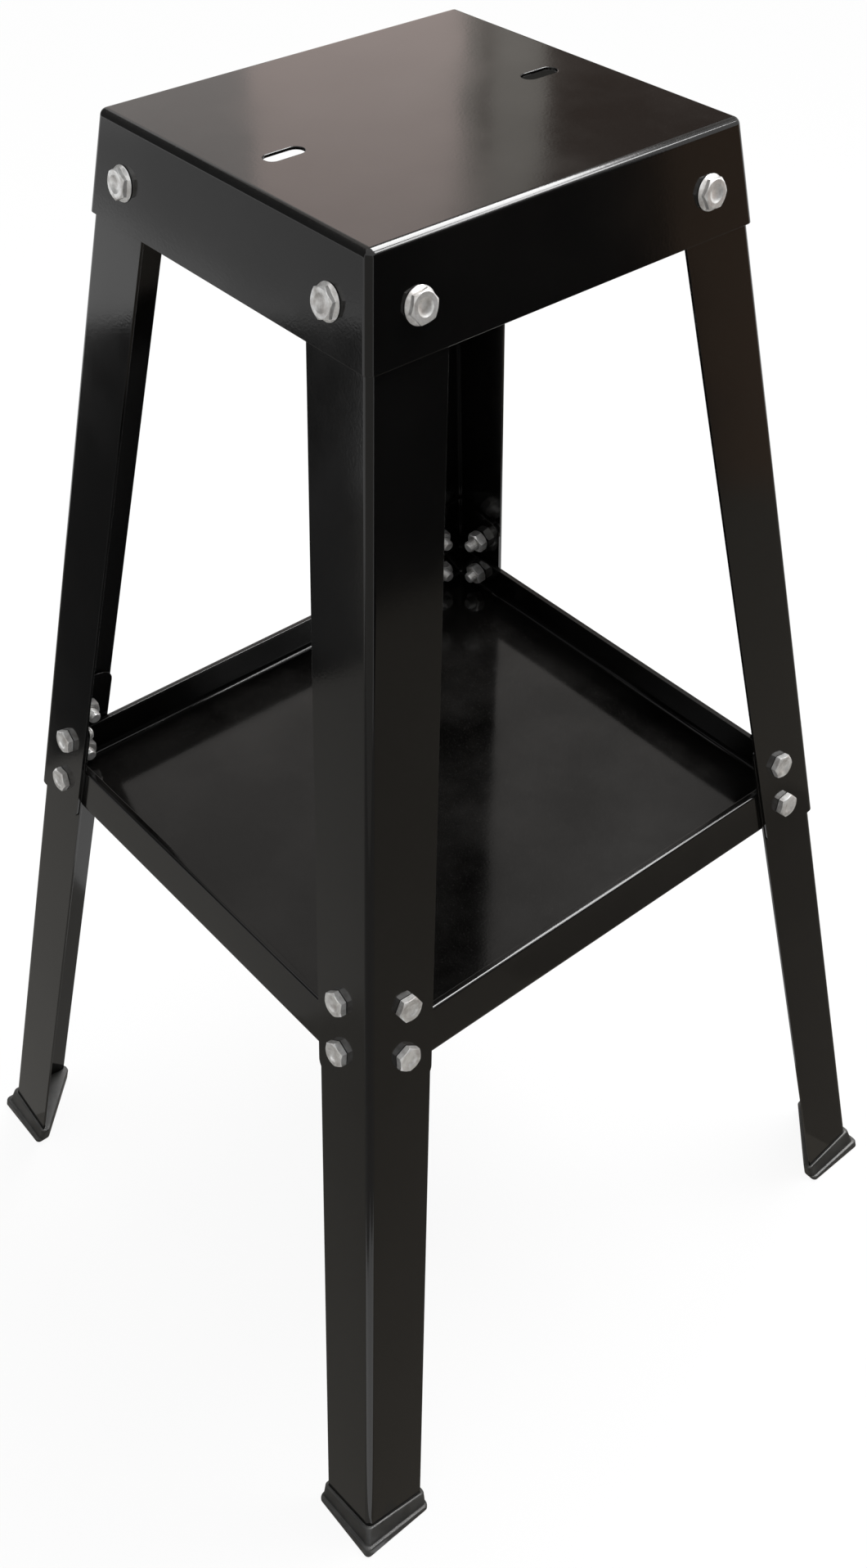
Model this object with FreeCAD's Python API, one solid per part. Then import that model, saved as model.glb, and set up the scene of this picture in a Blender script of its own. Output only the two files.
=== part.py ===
"""Bench grinder stand: a pressed cap on four splayed angle legs, with a shelf tray and rubber feet.

Millimetres, +Z up. X runs along the cap's long side and -Y is the front. The origin is on the floor,
under the middle of the stand. Every leg, cap skirt and tray wall leans outward at the same two splay
angles, so the sheets lie flat against each other and the bolts go square through them.
"""
import FreeCAD, Part
import math
import os

# Overall
HEIGHT = 760.0          # floor to the top of the cap
PLATE_LENGTH = 212.0    # cap's top along X, to the sharp corner of its bend
PLATE_WIDTH = 196.0     # cap's top along Y
SPLAY_X = 9.5           # degrees that the faces at the two ends lean
SPLAY_Y = 9.3           # degrees that the front and back faces lean
LAP_GAP = 0.1           # paint and fit between two pieces that lie against each other

# Cap
CAP_SHEET = 1.5
CAP_BEND = 4.0          # outside radius of its bends
SKIRT_DROP = 48.0       # level of the skirt's lower edge below the top
SLOT_SPACING = 148.0    # centre to centre of the two mounting slots
SLOT_LENGTH = 20.5
SLOT_WIDTH = 8.5

# Legs: an upper and a lower angle that lap at the shelf
LEG_SHEET = 1.5
LEG_BEND = 4.0          # outside radius of the angle
UPPER_FLANGE = 42.0
LOWER_FLANGE = 41.0
LEG_HEAD_GAP = 1.0      # from the cap's inner bend to the upper leg's end
LEG_END_ROUND = 8.0     # rounding of the free corners where the two angles lap
BOLT_END_DISTANCE = 22.0  # from a lap bolt to the end of the angle

# Shelf tray
TRAY_SHEET = 1.5
TRAY_BEND = 4.0         # outside radius of its bends
TRAY_RIM_HEIGHT = 377.5
TRAY_DEPTH = 30.0       # from the rim to the underside of the floor
TRAY_HEM = 4.0          # width of the rim that is folded inward

# Bolts
BOLT_GAUGE = 24.5       # from the leg's corner to every bolt
CAP_BOLT_DROP = 27.0    # cap bolts below the top
BOLT_OVER_RIM = 16.0    # upper lap bolts above the tray's rim
BOLT_UNDER_RIM = 15.0   # lower lap bolts, through the tray's wall
BOLT_DIAMETER = 8.0
HOLE_CLEARANCE = 0.5    # radial, in the sheets
THREAD_CLEARANCE = 0.1  # radial, in the nuts
BOLT_LENGTH = 16.0      # under the head
BOLT_TIP = 1.0          # chamfer of the bolt's end
HEAD_FLATS = 13.0
HEAD_HEIGHT = 4.0
HEAD_CHAMFER = 0.8      # how far the chamfer reaches down each corner of the hexagon
HEAD_DIMPLE = 4.2       # radius of the dimple pressed into the head
DIMPLE_DEPTH = 0.8
WASHER_FACE = 8.2       # radius of the cap bolts' flange
WASHER_THICKNESS = 1.4
NUT_FLATS = 13.0
NUT_HEIGHT = 6.5

# Feet: a sleeve round the leg's end on a wider base
FOOT_SOLE = 3.0         # least rubber under the leg
FOOT_RIM = 1.8          # rubber outside the leg at the sleeve's rim
FOOT_SLEEVE = 3.2       # rubber outside the leg where the sleeve would meet the floor
FOOT_BASE = 5.4         # rubber outside the leg in the base
FOOT_RIM_HEIGHT = 18.0  # the sleeve's rim at the leg's corner
FOOT_BASE_HEIGHT = 6.0  # the base's level top
FOOT_ROUND = 3.0        # radius of its upright corners
FOOT_WEB = 3.0          # rubber past the flanges' ends, along each flange
FOOT_BACK = 4.0         # from the leg's faces to the slanting back, at the flanges' ends
FOOT_FIT = 0.2          # gap round the leg

UPPER_LAP_HEIGHT = TRAY_RIM_HEIGHT + BOLT_OVER_RIM
LOWER_LAP_HEIGHT = TRAY_RIM_HEIGHT - BOLT_UNDER_RIM

# How each leg lies in the nest of sheets, measured square to the faces from the cap's outside
UPPER_INSET = CAP_SHEET + LAP_GAP
LOWER_INSET = UPPER_INSET + LEG_SHEET + LAP_GAP
TRAY_INSET = LOWER_INSET + LEG_SHEET + LAP_GAP

LEAN_X = math.tan(math.radians(SPLAY_X))
LEAN_Y = math.tan(math.radians(SPLAY_Y))
MIDDLE = FreeCAD.Vector(0, 0, 0)
X_AXIS = FreeCAD.Vector(1, 0, 0)
Y_AXIS = FreeCAD.Vector(0, 1, 0)
Z_AXIS = FreeCAD.Vector(0, 0, 1)
UP_THE_LEG = FreeCAD.Vector(-LEAN_X, -LEAN_Y, 1)   # along the leg of the back right corner
CORNERS = {
    "front_left": (-1, -1),
    "front_right": (1, -1),
    "back_left": (-1, 1),
    "back_right": (1, 1),
}
FACES = ("end", "side")   # the leaning face across X and the one across Y
BEYOND = 30.0             # how far cutting tools run past what they cut
SAME_LEVEL = 0.01         # heights closer than this are the same


def half_length(height, inset=0.0):
    """Half of the X size, at a height, of the leaning surface that lies `inset` inside the cap's."""
    lean = math.radians(SPLAY_X)
    return PLATE_LENGTH / 2 + (HEIGHT - height) * LEAN_X - inset / math.cos(lean)


def half_width(height, inset=0.0):
    """The same for Y."""
    lean = math.radians(SPLAY_Y)
    return PLATE_WIDTH / 2 + (HEIGHT - height) * LEAN_Y - inset / math.cos(lean)


def unit(vector):
    return FreeCAD.Vector(vector) / vector.Length


def outline(points, radii, height):
    """A level closed wire; a point that has a radius becomes an arc."""
    count = len(points)
    corners = [FreeCAD.Vector(x, y, height) for x, y in points]
    turns = []
    for i, corner in enumerate(corners):
        back = unit(corners[i - 1] - corner)
        ahead = unit(corners[(i + 1) % count] - corner)
        half_angle = back.getAngle(ahead) / 2
        reach = radii[i] / math.tan(half_angle)
        sagitta = radii[i] / math.sin(half_angle) - radii[i]
        turns.append((corner + back * reach, corner + unit(back + ahead) * sagitta, corner + ahead * reach))
    edges = []
    for i, (start, middle, end) in enumerate(turns):
        if radii[i] > 0:
            edges.append(Part.Arc(start, middle, end).toShape())
        edges.append(Part.LineSegment(end, turns[(i + 1) % count][0]).toShape())
    return Part.Wire(edges)


def flat_sided_block(low_points, low, high_points, high, radius, closed_end=None):
    """A block between two level polygons with as many corners, given anticlockwise from above.

    Its upright edges are rounded, and so are those at the closed end, where one is given.
    """
    bottom = [FreeCAD.Vector(x, y, low) for x, y in low_points]
    top = [FreeCAD.Vector(x, y, high) for x, y in high_points]
    loops = [bottom[::-1], top]
    for i in range(len(bottom)):
        loops.append([bottom[i - 1], bottom[i], top[i], top[i - 1]])
    shell = Part.Shell([Part.Face(Part.makePolygon(loop + loop[:1])) for loop in loops])
    shell.sewShape()
    block = Part.Solid(shell)
    return block.makeFillet(radius, [edge for edge in block.Edges if is_rounded(edge, closed_end)])


def frustum(inset, low, high, radius, closed_end=None):
    """The leaning block that lies `inset` inside the cap's outside."""
    sections = []
    for height in (low, high):
        x = half_length(height, inset)
        y = half_width(height, inset)
        sections.append([(x, -y), (x, y), (-x, y), (-x, -y)])
    return flat_sided_block(sections[0], low, sections[1], high, radius, closed_end)


def is_rounded(edge, closed_end):
    """True for an edge that runs up the block or lies level at its closed end."""
    heights = [vertex.Z for vertex in edge.Vertexes]
    if max(heights) - min(heights) > SAME_LEVEL:
        return True
    return closed_end is not None and abs(heights[0] - closed_end) < SAME_LEVEL


def slab_across_leg(low, high, inset):
    """Everything between two planes square to the leg, given by their heights at its corner."""
    start = FreeCAD.Vector(half_length(low, inset), half_width(low, inset), low)
    end = FreeCAD.Vector(half_length(high, inset), half_width(high, inset), high)
    size = UPPER_FLANGE + BEYOND
    slab = Part.makeBox(2 * size, 2 * size, (end - start).Length, FreeCAD.Vector(-size, -size, 0))
    slab.Placement = FreeCAD.Placement(start, FreeCAD.Rotation(Z_AXIS, UP_THE_LEG))
    return slab


def drop_along_flange(distance):
    """How much lower a cut square to the leg is at a distance from the leg's corner."""
    return distance * LEAN_X


def angle_prism(inset, sheet, flange, bend, low, high, room=0.0):
    """A leg's angle in the back right corner, with level ends; `room` grows it all round."""
    out_x = half_length(low, inset) + room
    out_y = half_width(low, inset) + room
    in_x = half_length(low, inset + sheet) - room
    in_y = half_width(low, inset + sheet) - room
    end_x = half_length(low, inset) - flange - room
    end_y = half_width(low, inset) - flange - room
    points = [(out_x, end_y), (out_x, out_y), (end_x, out_y), (end_x, in_y), (in_x, in_y), (in_x, end_y)]
    section = Part.Face(outline(points, [0, bend + room, 0, 0, bend - sheet, 0], low))
    return section.extrude(UP_THE_LEG * (high - low))


def nearest_edge(shape, point):
    return min(shape.Edges, key=lambda edge: (edge.CenterOfMass - point).Length)


def round_free_corners(leg, inset, flange, end_height):
    """Round the two outer corners of the flanges at one end of a leg."""
    height = end_height - drop_along_flange(flange)
    x = half_length(height, inset + LEG_SHEET / 2)
    y = half_width(height, inset + LEG_SHEET / 2)
    at_end_face = FreeCAD.Vector(x, half_width(height, inset) - flange, height)
    at_side_face = FreeCAD.Vector(half_length(height, inset) - flange, y, height)
    edges = [nearest_edge(leg, at_end_face), nearest_edge(leg, at_side_face)]
    return leg.makeFillet(LEG_END_ROUND, edges)


def bolt_seat(face, height, inset):
    """Where a bolt of the back right corner meets the surface, and the surface's outward normal."""
    x = half_length(height, inset)
    y = half_width(height, inset)
    corner_x = half_length(height, UPPER_INSET)
    corner_y = half_width(height, UPPER_INSET)
    if face == "end":
        return FreeCAD.Vector(x, corner_y - BOLT_GAUGE, height), unit(FreeCAD.Vector(1, 0, LEAN_X))
    return FreeCAD.Vector(corner_x - BOLT_GAUGE, y, height), unit(FreeCAD.Vector(0, 1, LEAN_Y))


def cap_seats():
    return [bolt_seat(face, HEIGHT - CAP_BOLT_DROP, 0.0) for face in FACES]


def lap_seats(*heights):
    return [bolt_seat(face, height, UPPER_INSET) for face in FACES for height in heights]


def bolt_holes(seats):
    """One drill per bolt, as deep as the bolt reaches and clear of the other flange."""
    radius = BOLT_DIAMETER / 2 + HOLE_CLEARANCE
    drills = []
    for seat, normal in seats:
        start = seat + normal * HEAD_HEIGHT
        drills.append(Part.makeCylinder(radius, HEAD_HEIGHT + BOLT_LENGTH, start, -normal))
    return drills


def mirrored(shape, side_x, side_y):
    """The back right corner's piece, moved to another corner."""
    result = shape
    if side_x < 0:
        result = result.mirror(MIDDLE, X_AXIS)
    if side_y < 0:
        result = result.mirror(MIDDLE, Y_AXIS)
    return result


def for_all_corners(shapes):
    return [mirrored(shape, *sides) for sides in CORNERS.values() for shape in shapes]


def turned_to(shape, seat, normal):
    """A piece made along +Z on the origin, put on its seat."""
    placed = shape.copy()
    placed.Placement = FreeCAD.Placement(seat, FreeCAD.Rotation(Z_AXIS, normal))
    return placed


def hexagon(flats, height, base=0.0):
    """A hexagonal prism whose upper corners are chamfered all round."""
    across_corners = flats / math.cos(math.radians(30))
    corner_radius = across_corners / 2
    angles = [math.radians(60 * i) for i in range(6)]
    points = [(corner_radius * math.cos(a), corner_radius * math.sin(a)) for a in angles]
    prism = Part.Face(outline(points, [0] * 6, base)).extrude(Z_AXIS * height)
    chamfer_run = corner_radius - flats / 2 + HEAD_CHAMFER / 2   # just past the flats
    shoulder = base + height - HEAD_CHAMFER
    drum = Part.makeCylinder(corner_radius, shoulder - base, FreeCAD.Vector(0, 0, base))
    crown_radius = corner_radius - chamfer_run
    crown = Part.makeCone(corner_radius, crown_radius, HEAD_CHAMFER, FreeCAD.Vector(0, 0, shoulder))
    return prism.common(drum.fuse(crown))


def make_bolt(flanged):
    """A bolt along -Z whose head stands on the plane z = LAP_GAP."""
    head = hexagon(HEAD_FLATS, HEAD_HEIGHT, LAP_GAP)
    top = LAP_GAP + HEAD_HEIGHT
    floor_radius = HEAD_DIMPLE - DIMPLE_DEPTH
    dimple = Part.makeCone(floor_radius, HEAD_DIMPLE, DIMPLE_DEPTH, FreeCAD.Vector(0, 0, top - DIMPLE_DEPTH))
    head = head.cut(dimple)
    shank_length = BOLT_LENGTH + LAP_GAP - BOLT_TIP
    shank = Part.makeCylinder(BOLT_DIAMETER / 2, shank_length, FreeCAD.Vector(0, 0, LAP_GAP), -Z_AXIS)
    tip_start = FreeCAD.Vector(0, 0, LAP_GAP - shank_length)
    tip = Part.makeCone(BOLT_DIAMETER / 2, BOLT_DIAMETER / 2 - BOLT_TIP, BOLT_TIP, tip_start, -Z_AXIS)
    bolt = head.fuse([shank, tip])
    if flanged:
        rim = Part.makeCone(WASHER_FACE, HEAD_FLATS / 2, WASHER_THICKNESS, FreeCAD.Vector(0, 0, LAP_GAP))
        bolt = bolt.fuse(rim)
    return bolt.removeSplitter()


def make_nut():
    """A nut that stands on z = 0 and is bored for its bolt."""
    bore = Part.makeCylinder(BOLT_DIAMETER / 2 + THREAD_CLEARANCE, NUT_HEIGHT)
    return hexagon(NUT_FLATS, NUT_HEIGHT).cut(bore)


def nuts_for(seats, grip):
    """Nuts against the far side of a stack of sheets that is `grip` thick."""
    depth = grip + LAP_GAP
    return [turned_to(make_nut(), seat - normal * depth, -normal) for seat, normal in seats]


def make_cap():
    """The top with its four leaning skirts, as one even sheet, and the two slots."""
    bottom = HEIGHT - SKIRT_DROP
    ceiling = HEIGHT - CAP_SHEET
    outside = frustum(0.0, bottom, HEIGHT, CAP_BEND, HEIGHT)
    inside = frustum(CAP_SHEET, bottom - BEYOND, ceiling, CAP_BEND - CAP_SHEET, ceiling)
    cap = outside.cut(inside)
    for side in (-1, 1):
        cap = cap.cut(slot_cutter(side * SLOT_SPACING / 2))
    return cap.cut(for_all_corners(bolt_holes(cap_seats())))


def slot_cutter(centre_x):
    """A slot with round ends, along X."""
    half_run = (SLOT_LENGTH - SLOT_WIDTH) / 2
    radius = SLOT_WIDTH / 2
    bottom = HEIGHT - BEYOND
    depth = 2 * BEYOND
    box = Part.makeBox(2 * half_run, SLOT_WIDTH, depth, FreeCAD.Vector(centre_x - half_run, -radius, bottom))
    ends = [
        Part.makeCylinder(radius, depth, FreeCAD.Vector(centre_x + side * half_run, 0, bottom))
        for side in (-1, 1)
    ]
    return box.fuse(ends)


def make_upper_leg():
    head = HEIGHT - CAP_BEND - LEG_HEAD_GAP
    foot = LOWER_LAP_HEIGHT - BOLT_END_DISTANCE + drop_along_flange(BOLT_GAUGE)
    leg = angle_prism(UPPER_INSET, LEG_SHEET, UPPER_FLANGE, LEG_BEND, foot - BEYOND, head + BEYOND)
    leg = leg.common(slab_across_leg(foot, head, UPPER_INSET))
    leg = round_free_corners(leg, UPPER_INSET, UPPER_FLANGE, foot)
    return leg.cut(bolt_holes(cap_seats() + lap_seats(UPPER_LAP_HEIGHT, LOWER_LAP_HEIGHT)))


def lower_leg_end():
    """Height of the lower leg's bottom end at its corner, so that its flanges' ends clear the sole."""
    return FOOT_SOLE + drop_along_flange(LOWER_FLANGE)


def make_lower_leg():
    head = UPPER_LAP_HEIGHT + BOLT_END_DISTANCE + drop_along_flange(BOLT_GAUGE)
    foot = lower_leg_end()
    leg = angle_prism(LOWER_INSET, LEG_SHEET, LOWER_FLANGE, LEG_BEND, foot - BEYOND, head + BEYOND)
    leg = leg.common(slab_across_leg(foot, head, LOWER_INSET))
    leg = round_free_corners(leg, LOWER_INSET, LOWER_FLANGE, head)
    return leg.cut(bolt_holes(lap_seats(UPPER_LAP_HEIGHT, LOWER_LAP_HEIGHT)))


def make_tray():
    """An open tray whose walls lean with the legs, with a rim folded inward."""
    rim = TRAY_RIM_HEIGHT
    underside = rim - TRAY_DEPTH
    floor_top = underside + TRAY_SHEET
    inner_bend = TRAY_BEND - TRAY_SHEET
    outside = frustum(TRAY_INSET, underside, rim, TRAY_BEND, underside)
    inside = frustum(TRAY_INSET + TRAY_SHEET, floor_top, rim - TRAY_SHEET, inner_bend, floor_top)
    mouth = frustum(TRAY_INSET + TRAY_HEM, rim - TRAY_SHEET, rim + BEYOND, inner_bend)
    tray = outside.cut([inside, mouth])
    return tray.cut(for_all_corners(bolt_holes(lap_seats(LOWER_LAP_HEIGHT))))


def foot_block(outset_low, outset_high, high):
    """A leaning block round the leg's end, from the floor up, with a slanting back."""
    sections = []
    for height, outset in ((0.0, outset_low), (high, outset_high)):
        leg_x = half_length(height, LOWER_INSET)
        leg_y = half_width(height, LOWER_INSET)
        end = LOWER_FLANGE + FOOT_WEB
        sections.append([
            (leg_x + outset, leg_y - end),
            (leg_x + outset, leg_y + outset),
            (leg_x - end, leg_y + outset),
            (leg_x - end, leg_y - FOOT_BACK),
            (leg_x - FOOT_BACK, leg_y - end),
        ])
    return flat_sided_block(sections[0], 0.0, sections[1], high, FOOT_ROUND)


def make_foot():
    """A boot with a level base; the rim of its sleeve is square to the leg."""
    base = foot_block(FOOT_BASE, FOOT_BASE, FOOT_BASE_HEIGHT)
    sleeve = foot_block(FOOT_SLEEVE, FOOT_RIM, FOOT_RIM_HEIGHT)
    sleeve = sleeve.common(slab_across_leg(-BEYOND, FOOT_RIM_HEIGHT, LOWER_INSET))
    end = lower_leg_end()
    socket = angle_prism(LOWER_INSET, LEG_SHEET, LOWER_FLANGE, LEG_BEND, end - BEYOND, end + BEYOND, FOOT_FIT)
    socket = socket.common(slab_across_leg(end - FOOT_FIT, end + 2 * BEYOND, LOWER_INSET))
    return base.fuse(sleeve).cut(socket).removeSplitter()


def save(name, solids):
    """Write one node; a node with more than one solid is a set of alike pieces."""
    shape = solids[0] if len(solids) == 1 else Part.makeCompound(solids)
    shape.exportStep(f"parts/{name}.step")


def main():
    os.makedirs("parts", exist_ok=True)
    cap_grip = UPPER_INSET + LEG_SHEET
    lap_grip = LEG_SHEET + LAP_GAP + LEG_SHEET
    shelf_grip = lap_grip + LAP_GAP + TRAY_SHEET
    upper_seats = lap_seats(UPPER_LAP_HEIGHT)
    shelf_seats = lap_seats(LOWER_LAP_HEIGHT)
    save("top_cap", [make_cap()])
    save("shelf_tray", [make_tray()])
    cap_bolts = [turned_to(make_bolt(True), *seat) for seat in cap_seats()]
    save("cap_bolts", for_all_corners(cap_bolts))
    save("cap_nuts", for_all_corners(nuts_for(cap_seats(), cap_grip)))
    lap_bolts = [turned_to(make_bolt(False), *seat) for seat in upper_seats + shelf_seats]
    lap_nuts = nuts_for(upper_seats, lap_grip) + nuts_for(shelf_seats, shelf_grip)
    pieces = {
        "upper_leg": [make_upper_leg()],
        "lower_leg": [make_lower_leg()],
        "foot": [make_foot()],
        "leg_bolts": lap_bolts,
        "leg_nuts": lap_nuts,
    }
    for corner, sides in CORNERS.items():
        for kind, solids in pieces.items():
            save(f"{kind}_{corner}", [mirrored(solid, *sides) for solid in solids])


main()
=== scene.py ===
import math
import random

import bmesh
import bpy
from mathutils import Matrix, Vector
from mathutils.geometry import tessellate_polygon


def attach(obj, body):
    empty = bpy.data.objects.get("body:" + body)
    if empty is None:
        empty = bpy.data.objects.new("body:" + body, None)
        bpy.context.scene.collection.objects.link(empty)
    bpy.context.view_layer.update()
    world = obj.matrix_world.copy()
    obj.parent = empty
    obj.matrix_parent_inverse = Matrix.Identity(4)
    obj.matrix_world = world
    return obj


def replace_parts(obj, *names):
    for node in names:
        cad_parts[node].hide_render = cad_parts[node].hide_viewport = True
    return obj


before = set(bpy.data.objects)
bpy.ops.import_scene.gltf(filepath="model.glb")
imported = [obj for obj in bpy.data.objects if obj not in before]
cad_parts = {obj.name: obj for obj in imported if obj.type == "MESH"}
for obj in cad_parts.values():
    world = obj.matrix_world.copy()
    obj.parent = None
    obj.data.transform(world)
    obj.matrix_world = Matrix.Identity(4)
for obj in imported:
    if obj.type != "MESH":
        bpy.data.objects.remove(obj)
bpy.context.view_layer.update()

# The looks of a bench grinder stand: gloss black sheet steel, zinc plated bolts and rubber feet.
# Shapes are worked out in millimetres and turned into metres when a piece is made. What stands in
# all four corners is worked out for the back right one, where X and Y are positive, and mirrored
# to the others.

MM = 0.001              # millimetres to metres
TAU = 2 * math.pi

# The stand's sizes, in millimetres
HEIGHT = 760.0
PLATE_LENGTH = 212.0
PLATE_WIDTH = 196.0
SPLAY_X = math.radians(9.5)
SPLAY_Y = math.radians(9.3)
LAP_GAP = 0.1
SHEET = 1.5

CAP_BEND = 4.0
SKIRT_DROP = 48.0
SLOT_SPACING = 148.0
SLOT_LENGTH = 20.5
SLOT_WIDTH = 8.5

LEG_BEND = 4.0
UPPER_FLANGE = 42.0
LOWER_FLANGE = 41.0
LEG_HEAD_GAP = 1.0
LEG_END_ROUND = 8.0
BOLT_END_DISTANCE = 22.0

TRAY_BEND = 4.0
TRAY_RIM_HEIGHT = 377.5
TRAY_DEPTH = 30.0
TRAY_HEM = 4.0
TRAY_FOLD = 1.2         # height of the folded rim's rounding
FOLD_WIDTH = 1.6        # and its width

BOLT_GAUGE = 24.5
CAP_BOLT_DROP = 27.0
UPPER_LAP_HEIGHT = TRAY_RIM_HEIGHT + 16.0
LOWER_LAP_HEIGHT = TRAY_RIM_HEIGHT - 15.0
BOLT_RADIUS = 4.0
BOLT_LENGTH = 16.0
HOLE_RADIUS = 4.5
HEAD_FLATS = 13.0
HEAD_HEIGHT = 4.0
HEAD_FACE = 6.1         # radius of the flat top inside the chamfer
HEAD_BREAK = 0.15       # break of the hexagon's edge at the seat
HEAD_DISH = 4.3         # radius of the hollow in the head
DISH_SLOPE = ((0.0, 0.0), (0.3, 0.1), (0.9, 0.42), (1.7, 0.68), (2.7, 0.8))    # inward and down
HEAD_FLANGE = 8.2       # radius of the flange under a cap bolt's head
FLANGE_EDGE = ((0.3, 0.0), (0.0, 0.25), (0.15, 0.6))    # inward from that radius, and up
FLANGE_THICKNESS = 1.4
FLANGE_BLEND = 0.2
NUT_HEIGHT = 6.5
NUT_BORE = 4.1
NUT_COUNTERSINK = 0.5

THREAD_PITCH = 1.25
THREAD_DEPTH = 0.6
THREAD_TURNS = 7
THREAD_RUN_OUT = 0.2
THREAD_SLOPE = 1.35     # steepness of the ridge, in a triangle that is 1 high
THREAD_ROOT = 0.12      # and how much of its foot is cut off
POINT_LENGTH = 1.4      # the ridge gets lower over this length of the bolt's end,
POINT_DROP = 0.9        # by this much
POINT_CHAMFER = 0.35    # the thread stops this far from the end,
POINT_INSET = 1.15      # which is smaller than the bolt by this much

FOOT_RIM = 1.8          # how far the rim, the sleeve and the base stand out from the leg
FOOT_SLEEVE = 3.2
FOOT_BASE = 5.4
FOOT_SOLE = 3.0
FOOT_RIM_HEIGHT = 18.0
FOOT_BASE_HEIGHT = 6.0
FOOT_ROUND = 3.0
FOOT_WEB = 3.0
FOOT_BACK = 4.0
FOOT_FIT = 0.2
SLANT_SHARE = 0.41      # how much of a side's pull the slanting side takes
FOOT_PROFILE = (        # height at the leg's corner, outset, pull and fall, from the sole up
    (0.0, FOOT_BASE, 1.0, 0.0),
    (0.2, FOOT_BASE, 0.35, 0.0),
    (0.9, FOOT_BASE, 0.0, 0.0),
    (FOOT_BASE_HEIGHT - 1.0, FOOT_BASE, 0.0, 0.4),
    (FOOT_BASE_HEIGHT - 0.35, FOOT_BASE - 0.25, 0.0, 0.4),
    (FOOT_BASE_HEIGHT, FOOT_BASE - 0.9, 0.0, 0.4),
    (FOOT_BASE_HEIGHT, FOOT_SLEEVE + 0.6, 0.0, 0.45),
    (FOOT_BASE_HEIGHT + 0.2, FOOT_SLEEVE + 0.1, 0.0, 0.45),
    (FOOT_BASE_HEIGHT + 0.9, FOOT_SLEEVE - 0.1, 0.0, 0.45),
    (FOOT_RIM_HEIGHT - 1.1, FOOT_RIM, 0.0, 1.0),
    (FOOT_RIM_HEIGHT - 0.35, FOOT_RIM, 0.28, 1.0),
    (FOOT_RIM_HEIGHT, FOOT_RIM, 0.9, 1.0),
)

UPPER_INSET = SHEET + LAP_GAP
LOWER_INSET = UPPER_INSET + SHEET + LAP_GAP
TRAY_INSET = LOWER_INSET + SHEET + LAP_GAP

# How finely round shapes are divided
BEND_STEPS = 8
FOOT_ROUND_STEPS = 5
HOLE_POINTS = 24
HEAD_POINTS = 48
RINGS_PER_PITCH = 8

# Broken edges: the bevel's width, the angle in degrees that makes an edge sharp, and the steps
SHEET_EDGES = {"bevel": 0.35, "sharp": 40.0, "bevel_steps": 3}
FASTENER_EDGES = {"bevel": 0.12, "sharp": 28.0, "bevel_steps": 2}
FOOT_EDGES = {"bevel": 0.0, "sharp": 50.0, "bevel_steps": 0}
CREASE_ANGLE = 89.9     # on a piece with a bevel, only edges as sharp as this stay creased
FLAT_FACE_WEIGHT = 80   # how much a flat face turns the normals at its edge to its own
SAME_POINT = 1e-4       # points this near are one, in millimetres
JOIN_DISTANCE = 2e-6    # and in a finished mesh, in metres
SHORTEST_EDGE = 1e-6    # in metres
HEAD_TURN_SEED = 7      # for how far round each bolt and nut is turned

LEAN_X = math.tan(SPLAY_X)
LEAN_Y = math.tan(SPLAY_Y)
UP = Vector((0, 0, 1))
UP_THE_LEG = Vector((-LEAN_X, -LEAN_Y, 1))
LEG_AXIS = UP_THE_LEG.normalized()
END_NORMAL = Vector((1, 0, LEAN_X)).normalized()
SIDE_NORMAL = Vector((0, 1, LEAN_Y)).normalized()
CORNERS = {
    "front_left": (-1, -1),
    "front_right": (1, -1),
    "back_left": (-1, 1),
    "back_right": (1, 1),
}
QUARTERS = ((1, -1), (1, 1), (-1, 1), (-1, -1))   # a ring's corners, anticlockwise


# Places on the stand

def half_length(height, inset=0.0):
    return PLATE_LENGTH / 2 + (HEIGHT - height) * LEAN_X - inset / math.cos(SPLAY_X)


def half_width(height, inset=0.0):
    return PLATE_WIDTH / 2 + (HEIGHT - height) * LEAN_Y - inset / math.cos(SPLAY_Y)


def leg_corner(height, inset):
    return Vector((half_length(height, inset), half_width(height, inset), height))


def bolt_seat(face, height, inset):
    """Where a bolt of the back right corner meets a surface, and that surface's normal."""
    place = leg_corner(height, inset)
    gauge = leg_corner(height, UPPER_INSET)
    if face == "end":
        return Vector((place.x, gauge.y - BOLT_GAUGE, height)), END_NORMAL
    return Vector((gauge.x - BOLT_GAUGE, place.y, height)), SIDE_NORMAL


def bolt_seats(height, inset):
    return [bolt_seat(face, height, inset) for face in ("end", "side")]


def mirror(point, sides):
    return Vector((point.x * sides[0], point.y * sides[1], point.z))


# Faces, as lists of corner points

def strip(faces, one, other, closed=True):
    """A band of four-sided faces between two lines that have as many points."""
    count = len(one)
    for i in range(count if closed else count - 1):
        j = (i + 1) % count
        faces.append([one[i], one[j], other[j], other[i]])


def bands(faces, rings):
    for one, other in zip(rings, rings[1:]):
        strip(faces, one, other)


def panel(faces, border, holes=()):
    """A flat face, divided into triangles round its holes."""
    loops = [[p for i, p in enumerate(border) if (p - border[i - 1]).length > SAME_POINT]]
    loops += [list(hole) for hole in holes]
    points = [p for loop in loops for p in loop]
    for triangle in tessellate_polygon(loops):
        faces.append([points[i] for i in triangle])


def circle(centre, normal, radius, count=HOLE_POINTS):
    level = Vector((-normal.y, normal.x, 0))
    across = level.normalized() if level.length else Vector((1, 0, 0))
    upward = normal.cross(across)
    points = []
    for i in range(count):
        angle = TAU * i / count
        points.append(centre + radius * (across * math.cos(angle) + upward * math.sin(angle)))
    return points


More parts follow.
